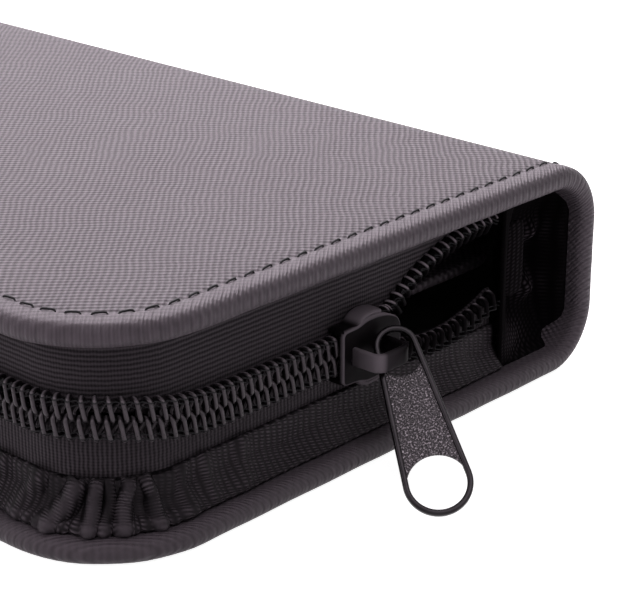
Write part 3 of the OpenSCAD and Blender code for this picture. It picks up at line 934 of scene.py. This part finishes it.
def sunk_panel(far):
    """Depth is a hollow with dents; the rims lie on the covers' and spine's walls."""
    a, b = np.meshgrid(np.linspace(0, 1, 41), np.linspace(0, 1, 49), indexing="ij")
    x, z = PANEL_X + a * PANEL_W, PANEL_Z + b * PANEL_H
    hollow = np.sin(math.pi * b) ** 0.5 * smooth(a / 0.55) * smooth((1 - a) / 0.16)
    bulge = sum(np.exp(-(((x - middle) / half) ** 2) - ((z - height) / BULGE_HALF_H) ** 2)
                for middle, height, half in BULGES)
    dent = PANEL_DENT * np.sin(4.1 * a + 6.3 * b) * np.sin(3.7 * a - 7.1 * b + 1.0)
    depth = PANEL_DEPTH + (PANEL_HOLLOW + dent - BULGE_RISE * bulge) * hollow
    # painted shade over the whole sunk panel, less of it on the bulges
    lay = stacked(x * 1.2, z, 0.8 * bulge - 0.96)
    return [sheet_part(on_end(x, depth, z, far), lay, flip=far)]


def end_patch(far):
    """A small pad with round edges: a superellipse carried through its thickness."""
    ring = round_angles(48)
    lift = np.linspace(-math.pi / 2, math.pi / 2, 9)[:, None]
    grow = np.cos(lift) ** 0.3
    x = PATCH_X + PATCH_HALF_W * grow * boxed(np.cos(ring), 0.35)
    z = PATCH_Z + PATCH_HALF_H * (1 - 0.42 * (1 - grow)) * boxed(np.sin(ring), 0.35)
    points = on_end(x, PATCH_DEPTH - PATCH_HALF_T * np.sin(lift), z, far)
    return [sheet_part(points, stacked(x, z, PATCH_SHADE), wrap=True, flip=not far)]


shaded_hide = finish("shaded_leather", gloss(0.004), soft_leather)
for far in (False, True):
    side = "far" if far else "near"
    panel = piece(side + "_sunk_gusset", sunk_panel(far), shaded_hide)
    walled(panel)
    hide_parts(side + "_end_gusset")
    patch = piece(side + "_end_patch", end_patch(far), shaded_hide)
    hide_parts(side + "_zip_end")
    for made in (panel, patch):
        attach(made, "spine")
        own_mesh(made)

# ---------------------------------------------------------------- slider
# A cast slider, painted black: two plates joined by a wedge, with flanges that
# turn in over the coils, and a strap crown that holds the pull tab.

SLIDER_X = 1.0
# Depths of its faces from the near end, then its outlines in x and height.
PLATE_OUT, PLATE_IN, FLANGE_IN, REAR_OUT, REAR_IN = 1.9, 2.8, 4.85, 5.9, 6.8
PLATE_TOP = [(-5.6, 3.7), (-2.6, 3.8), (-1.2, 4.5), (1.9, 4.5), (5.6, 2.8)]
PLATE_RADII = [0.9, 2, 1.6, 1.6, 1.6]
FLANGE_LINE = [(-5.35, 3.38), (-2.8, 3.43), (-1.5, 4.65), (0.5, 4.85), (1.9, 4.55)]
FLANGE_HALF_T, FLANGE_SUNK, WEDGE_SUNK, CROWN_SUNK = 0.33, 0.25, 0.2, 0.4
WEDGE = [(0.2, 0), (1.8, 0.58), (5.5, 0.58), (5.5, -0.58), (1.8, -0.58)]
WEDGE_RADII = [0.3, 0.5, 0.4, 0.4, 0.5]
CROWN_X, CROWN_L, CROWN_RISE, CROWN_W, CROWN_T, CROWN_R = -4.0, 6.6, 4.65, 2.5, 0.85, 1.3
ENAMEL_DARK, ENAMEL_PALE = (0.003, 0.0026, 0.0029), (0.012, 0.0104, 0.0117)
# the colour of the painted highlight on the casting
ENAMEL_HIGHLIGHT = (0.22, 0.195, 0.215)


def rounded(corners, radii, closed=True, steps=7):
    """Cuts each corner of a polygon off with a quadratic arc."""
    corners = np.array(corners, float)
    made = []
    for i, corner in enumerate(corners):
        if not closed and i in (0, len(corners) - 1):
            made.append(corner[None])
            continue
        before = corners[i - 1] - corner
        after = corners[(i + 1) % len(corners)] - corner
        reach = min(radii[i], 0.48 * np.linalg.norm(before), 0.48 * np.linalg.norm(after))
        p = corner + before / np.linalg.norm(before) * reach
        q = corner + after / np.linalg.norm(after) * reach
        s = np.linspace(0, 1, steps)[:, None]
        made.append((1 - s) ** 2 * p + 2 * s * (1 - s) * corner + s**2 * q)
    return np.concatenate(made)


def round_tangent(line):
    """Unit directions along a closed line, each from its two neighbours."""
    return unit(np.roll(line, -1, 0) - np.roll(line, 1, 0))


def inset_by(outline, inset):
    """Moves a closed outline's points inwards, square to their neighbours' line."""
    tangent = round_tangent(outline)
    return outline + inset * stacked(-tangent[:, 1], tangent[:, 0])


def on_slider(flat, depth):
    """Stands an outline of x and height in the near end, at a depth."""
    return stacked(SLIDER_X + flat[:, 0], -END + depth, MIDDLE + flat[:, 1])


def plate(outline, out, inner, edge, flare=0.0):
    """Rings from the outer face's middle, over two rounded edges, to the inner's.
    flare rounds the outer edge off further where the outline is tallest."""
    more = flare * smooth((np.abs(outline[:, 1]) - 3.6) / 1.1)[:, None]
    turn = np.linspace(0, math.pi / 2, 7)
    rings = [on_slider(inset_by(outline, (edge + more) * (1 - np.sin(a))),
                       out + ((edge + more) * (1 - np.cos(a)))[:, 0]) for a in turn]
    rings += [on_slider(inset_by(outline, edge * (1 - np.cos(a))),
                        inner - edge * (1 - np.sin(a)) + more[:, 0]) for a in turn]
    rings.append(on_slider(inset_by(outline, edge + 1.2 * more), inner))
    rings = np.array(rings)
    # painted highlight on the outer face's rounded edge
    highlight_amount = np.concatenate([np.sin(turn) ** 0.5, 0 * turn, [0]])[:, None]
    return tube_part(rings, stacked(rings[..., 0], rings[..., 2], highlight_amount))


def section_ring(half_width, half_height, power, sides=20):
    """A closed superellipse; a small power makes it a box with round corners."""
    ring = round_angles(sides)
    return stacked(half_width * boxed(np.cos(ring), power),
                   half_height * boxed(np.sin(ring), power))


def bar(path, side, over, section, closed=False, highlight_amount=0.0):
    """A section carried along a path: its first number goes to the side direction
    and its second over. Open ends close on their middles."""
    points = (path[:, None] + side[:, None] * section[None, :, :1]
              + over[:, None] * section[None, :, 1:])
    if closed:
        points = np.concatenate([points, points[:1]])
    highlight_amount = np.broadcast_to(highlight_amount, len(points))[:, None]
    return tube_part(points, stacked(points[..., 0], points[..., 1], highlight_amount), closed)


def slider_parts():
    """Plates, flanges and wedge of the casting."""
    corners = PLATE_TOP + [(x, -z) for x, z in PLATE_TOP[::-1]]
    outline = rounded(corners, PLATE_RADII + PLATE_RADII[::-1])[::-1]
    parts = [plate(outline, PLATE_OUT, PLATE_IN, 0.2, 0.3),
             plate(outline, REAR_OUT, REAR_IN, 0.3)]
    sunk = PLATE_OUT + FLANGE_SUNK
    line = rounded(FLANGE_LINE, [0, 1.5, 1.5, 1.5, 0], closed=False)
    halfway = (line[:-1] + line[1:]) / 2
    line = np.concatenate([np.stack([line[:-1], halfway], 1).reshape(-1, 2), line[-1:]])
    # painted highlight on the flanges' tops over the hump
    highlight_share = 0.85 * smooth((line[:, 1] - 3.5) / 0.8)
    for sign in (1, -1):
        path = on_slider(line * (1, sign), (sunk + FLANGE_IN) / 2)
        side, over = path_sides(path, np.array([0, 1.0, 0]))
        section = section_ring((FLANGE_IN - sunk) / 2, FLANGE_HALF_T, 0.5)
        parts.append(bar(path, side, over, section, highlight_amount=highlight_share))
    wedge = rounded(WEDGE, WEDGE_RADII)[::-1]
    parts.append(plate(wedge, PLATE_IN - WEDGE_SUNK, REAR_OUT + WEDGE_SUNK, 0.05))
    return parts


def crown_strap():
    """A flat bar bent into a bridge, its feet sunk in the plate."""
    left_x, right_x = CROWN_X + CROWN_T / 2, CROWN_X + CROWN_L - CROWN_T / 2
    foot, top = PLATE_OUT + CROWN_SUNK, PLATE_OUT - CROWN_RISE + CROWN_T / 2
    line = rounded([(left_x, foot), (left_x, top), (right_x, top), (right_x, foot)],
                   [0, CROWN_R, CROWN_R, 0], closed=False, steps=12)
    path = stacked(SLIDER_X + line[:, 0], -END + line[:, 1], MIDDLE)
    side, over = path_sides(path, np.array([0, 0, 1.0]))
    # painted highlight over the crown's left leg and bend, the side the light falls on
    left_leg = smooth((SLIDER_X + left_x + 1.6 - path[:, 0]) / 1.2)
    section = section_ring(CROWN_W / 2, CROWN_T / 2, 0.45, 28)
    return [bar(path, side, over, section, highlight_amount=0.03 + 0.97 * left_leg)]


def black_cast(w):
    """Black enamel on cast metal, a little uneven, dulled by handling, with a
    painted highlight where the lay's third number says.
    """
    _, (_, _, highlight_amount) = lay_of(w)
    spot = object_spot(w)
    tone_share = noise(w, spot, 260.0, 4.0)
    enamel_tone = mixed(w, tone_share, ENAMEL_DARK, ENAMEL_PALE)
    return {
        "Base Color": mixed(w, highlight_amount, enamel_tone, ENAMEL_HIGHLIGHT),
        "Roughness": tone_share * 0.22 + 0.24,
        "Normal": bumped(w, 0.35, 0.00005, noise(w, spot, 1400.0)),
    }


enamel = finish("black_enamel", gloss(0.015, 1.6), black_cast)
casting = piece("slider_casting", slider_parts(), enamel, weld=True)
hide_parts("slider")
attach(casting, "slider")
bridge = piece("crown_bridge", crown_strap(), enamel, weld=True)
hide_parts("crown")
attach(bridge, "slider")

# ---------------------------------------------------------------- pull tab
# A stamped tab with a raised rim round a sand-textured field. Its eye loops
# through the crown, and a round hole at its end takes a finger or a cord.

TAB_L, EYE_R, HOLE_R, RIM_W, RIM_T, FIELD_T = 26.4, 2.05, 3.65, 0.8, 1.0, 0.62
EYE_END, TAB_TOP_R, TAB_END_R = -2.3, 2.9, 4.45
HOLE_Y = -(TAB_L - TAB_TOP_R - TAB_END_R)
FIELD_TOP, FIELD_LOW, HOLE_SPAN, EDGE_BULGE = 2.5, 3.95, 3.9, 0.1
PIVOT, EYE_SLACK = np.array([0.1, -88.6, 15.8]), 0.375  # in the crown, and past the eye's middle
TAB_ROLL, TAB_LEAN, TAB_HEAD = np.radians([-15, -48, -27])
TAB_DARK, TAB_PALE = (0.006, 0.005, 0.006), (0.225, 0.197, 0.217)


def turn_about(axis, angle):
    """The matrix of a turn about x, number 0, or z, number 2."""
    first, second = (axis + 1) % 3, (axis + 2) % 3
    matrix = np.eye(3)
    matrix[first, first] = matrix[second, second] = math.cos(angle)
    matrix[first, second], matrix[second, first] = -math.sin(angle), math.sin(angle)
    return matrix


def turned(points):
    """Hangs the tab's own x, y and height from the crown: rolled 15 degrees,
    leaned 48 and headed 27, all clockwise."""
    x, y, h = points[..., 0] + TAB_TOP_R - EYE_SLACK, points[..., 1], points[..., 2]
    turn = turn_about(2, TAB_HEAD) @ turn_about(0, TAB_LEAN) @ turn_about(2, TAB_ROLL)
    return PIVOT + stacked(x, -h, y) @ turn.T


def tab_rim():
    """A rounded bead carried round the tab's edge."""
    slope = math.asin((TAB_END_R - TAB_TOP_R) / -HOLE_Y)
    top = np.linspace(slope, math.pi - slope, 33)
    end = np.linspace(math.pi - slope, 2 * math.pi + slope, 49)
    r1, r2 = TAB_TOP_R - RIM_W / 2, TAB_END_R - RIM_W / 2
    line = np.concatenate([
        stacked(r1 * np.cos(top), r1 * np.sin(top)),
        stacked(r2 * np.cos(end), HOLE_Y + r2 * np.sin(end)),
    ])
    tangent = round_tangent(line)
    path = stacked(line[:, 0], line[:, 1], 0.0)
    side = stacked(tangent[:, 1], -tangent[:, 0], 0.0)
    over = np.tile([[0.0, 0, 1]], (len(line), 1))
    section = section_ring(RIM_W / 2, RIM_T / 2, 0.62, 24)
    points, faces, lay = bar(path, side, over, section, closed=True)
    return turned(points), faces, lay


def tab_field():
    """Ruled lines from the eye's edge to the hole's edge, closed round the
    thickness and drawn together under the rim at both sides."""
    u = np.sin(np.linspace(-math.pi / 2, math.pi / 2, 41))[:, None]
    top_x, low_x = u * FIELD_TOP, u * FIELD_LOW
    top_y = EYE_END - EYE_R * np.sqrt(1 - u**2 * 0.985)
    low_y = HOLE_Y + HOLE_R * np.sqrt(np.clip(1 - (low_x / HOLE_SPAN) ** 2, 0, 1))
    edge = np.linspace(-math.pi / 2, math.pi / 2, 7)
    face = np.linspace(0, 1, 26)
    half = np.full(len(face), FIELD_T / 2)
    bulge = EDGE_BULGE * np.cos(edge)
    v = np.concatenate([face, 1 + 0 * edge, face[::-1], 0 * edge])
    h = np.concatenate([half, -half[0] * np.sin(edge), -half, half[0] * np.sin(edge)])
    out = np.concatenate([0 * face, bulge, 0 * face, -bulge])
    x = top_x + (low_x - top_x) * v
    y = top_y + (low_y - top_y) * v - out
    flatten = np.where(np.abs(u) > 0.9999, 0.0, 1.0)
    points = turned(stacked(x, y, h * flatten))
    return sheet_part(points, stacked(x, y, 1.0), wrap=True, flip=True)


def gunmetal(w):
    """Smoked metal: a smooth rim and a field stamped with fine sand."""
    where, (_, _, field) = lay_of(w)
    sand = w.node(
        "TexNoise", None, {"Vector": where, "Scale": 4.0, "Detail": 1.0, "Roughness": 0.6}
    )
    grit = w.maths("MINIMUM", (sand * 1.6) ** 7.0, 1.0) * field
    smear = noise(w, where, 0.35, 3.0)
    height = grit + smear * 0.1
    return {
        "Base Color": mixed(w, height, TAB_DARK, TAB_PALE),
        "Roughness": field * 0.20 + smear * 0.16 + 0.20,
        "Normal": bumped(w, 1.0, 0.00012, height),
    }


smoked = finish("gunmetal", {"Metallic": 0.85, "IOR": 1.5}, gunmetal)
pull = piece("stamped_pull", [tab_rim(), tab_field()], smoked, weld=True)
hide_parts("pull_tab")
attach(pull, "pull_tab")

# ---------------------------------------------------------------- pen loops
# Each cover holds six pens in two bands of black elastic, sewn down between
# the pens. A band is one strip that rises into six arches.

PENS, PEN_PITCH, LOOP_H, BAND_T, BAND_W, BAND_Y = 6, 13.4, 9.6, 0.8, 30.0, 42.0
BAND_X = -41.875
CORD_PITCH, YARN_PITCH = 1.1, 0.5
ELASTIC_DARK, ELASTIC_PALE = (0.010, 0.010, 0.011), (0.050, 0.047, 0.052)


def pen_band(y_middle, front):
    """The strip's section is carried over six superellipse arches."""
    turn = np.linspace(math.pi, 0, 25)
    half = PEN_PITCH / 2 - BAND_T / 2
    arch_x = PEN_PITCH / 2 + half * boxed(np.cos(turn), 0.55)
    arch_z = BAND_T / 2 + (LOOP_H - BAND_T) * boxed(np.sin(turn), 0.75)
    x = np.concatenate([BAND_X + i * PEN_PITCH + arch_x for i in range(PENS)])
    path = stacked(x, y_middle, WALL + np.tile(arch_z, PENS))
    side, over = path_sides(path, np.array([0, 1.0, 0]))
    section = section_ring(BAND_W / 2, BAND_T / 2, 0.22, 44)
    points, faces, _ = bar(path, side, over, section)
    run = run_along(path)
    run = np.concatenate([run[:1], run, run[-1:]])
    lay = stacked(run[:, None], section[:, 0], 0.0).reshape(-1, 3)
    if front:
        points, faces = points * (1, 1, -1) + (0, 0, TALL), faces[:, ::-1]
    return points, faces, lay


def elastic_weave(w):
    """Rubber cords run along the strip, wrapped by a fine crossing yarn."""
    _, (run, across, _) = lay_of(w)
    cord = ridges(w, across, 0.0, CORD_PITCH)
    weave = cord * 0.6 + ridges(w, run, cord * 0.2, YARN_PITCH) * 0.4
    return {
        "Base Color": mixed(w, weave, ELASTIC_DARK, ELASTIC_PALE),
        "Roughness": 0.82 - weave * 0.1,
        "Normal": bumped(w, 0.9, 0.00018, weave),
    }


elastic = finish("black_elastic", {"IOR": 1.5}, elastic_weave)
for cover in ("back", "front"):
    for end, sign in (("near", -1), ("far", 1)):
        loops = [pen_band(sign * BAND_Y, cover == "front")]
        band = piece(f"{cover}_pen_loops_{end}", loops, elastic, weld=True)
        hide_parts(f"{cover}_band_{end}")
        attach(band, cover)

# ---------------------------------------------------------------- divider page
# A thin page of the cover's leather on a stiffener keeps the two rows of pens
# apart. Its edge is rolled, with a groove along its stitch line, and a cloth hinge
# joins it to the spine.

PAGE_LEFT, PAGE_RIGHT, PAGE_HALF, PAGE_T, PAGE_R = -37.0, 41.8, 78.0, 1.6, 8.0
PAGE_GROOVE = 0.18
HINGE_HALF_T, HINGE_SAG, HINGE_LAP, HINGE_SUNK = 0.32, 0.25, 1.2, 0.1


def page_outline(inset):
    """A rectangle with four round corners, drawn in by inset."""
    turn = np.linspace(0, math.pi / 2, 9)
    radius = PAGE_R - inset
    left, right, far = PAGE_LEFT + PAGE_R, PAGE_RIGHT - PAGE_R, PAGE_HALF - PAGE_R
    corners = ((right, far), (left, far), (left, -far), (right, -far))
    return np.concatenate([
        stacked(x + radius * np.cos(turn + k * math.pi / 2),
                y + radius * np.sin(turn + k * math.pi / 2))
        for k, (x, y) in enumerate(corners)
    ])


def page_slab():
    """Rings from the middle of the lower face, round the rolled edge, to the
    middle of the upper face, with a groove where it is stitched. The first and
    the last ring are drawn half-way in to the middle."""
    roll = np.linspace(-math.pi / 2, math.pi / 2, 9)
    half = PAGE_T / 2
    inward = [2.4, 3.0, 3.6, 7, 7.9]
    groove = half - PAGE_GROOVE
    inset = np.concatenate([inward[::-1], half - half * np.cos(roll), inward])
    high = np.concatenate([[-half, -half, -half, -groove, -half], half * np.sin(roll),
                           [half, groove, half, half, half]])
    middle = np.array([(PAGE_LEFT + PAGE_RIGHT) / 2, 0])
    lines = np.array([page_outline(i) for i in inset])
    lines[[0, -1]] = middle + (lines[[0, -1]] - middle) * 0.5
    rings = stacked(lines[..., 0], lines[..., 1], MIDDLE + high[:, None])
    return [tube_part(rings, rings * (1, 1, 0))]


page = piece("divider_page", page_slab(), hide, weld=True)
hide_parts("page")
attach(page, "page")


def hinge_cloth():
    """A strip with a soft hollow, from inside the page's edge to the spine."""
    x = np.linspace(PAGE_RIGHT - HINGE_LAP, RIGHT - WALL + HINGE_SUNK, 15)[:, None]
    y = np.linspace(PAGE_R - PAGE_HALF, PAGE_HALF - PAGE_R, 60)
    sag = HINGE_SAG * np.sin(math.pi * (x - x[0]) / (x[-1] - x[0]))
    upper = stacked(x, y, MIDDLE + HINGE_HALF_T - sag)
    lower = stacked(x, y[::-1], MIDDLE - HINGE_HALF_T + sag * 0.2)
    ring = np.concatenate([upper, lower], axis=1)
    return [tube_part(ring, ring * (1, 1, 0))]


hinge = piece("page_hinge_cloth", hinge_cloth(), cloth, weld=True)
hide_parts("page_hinge")
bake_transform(hinge)
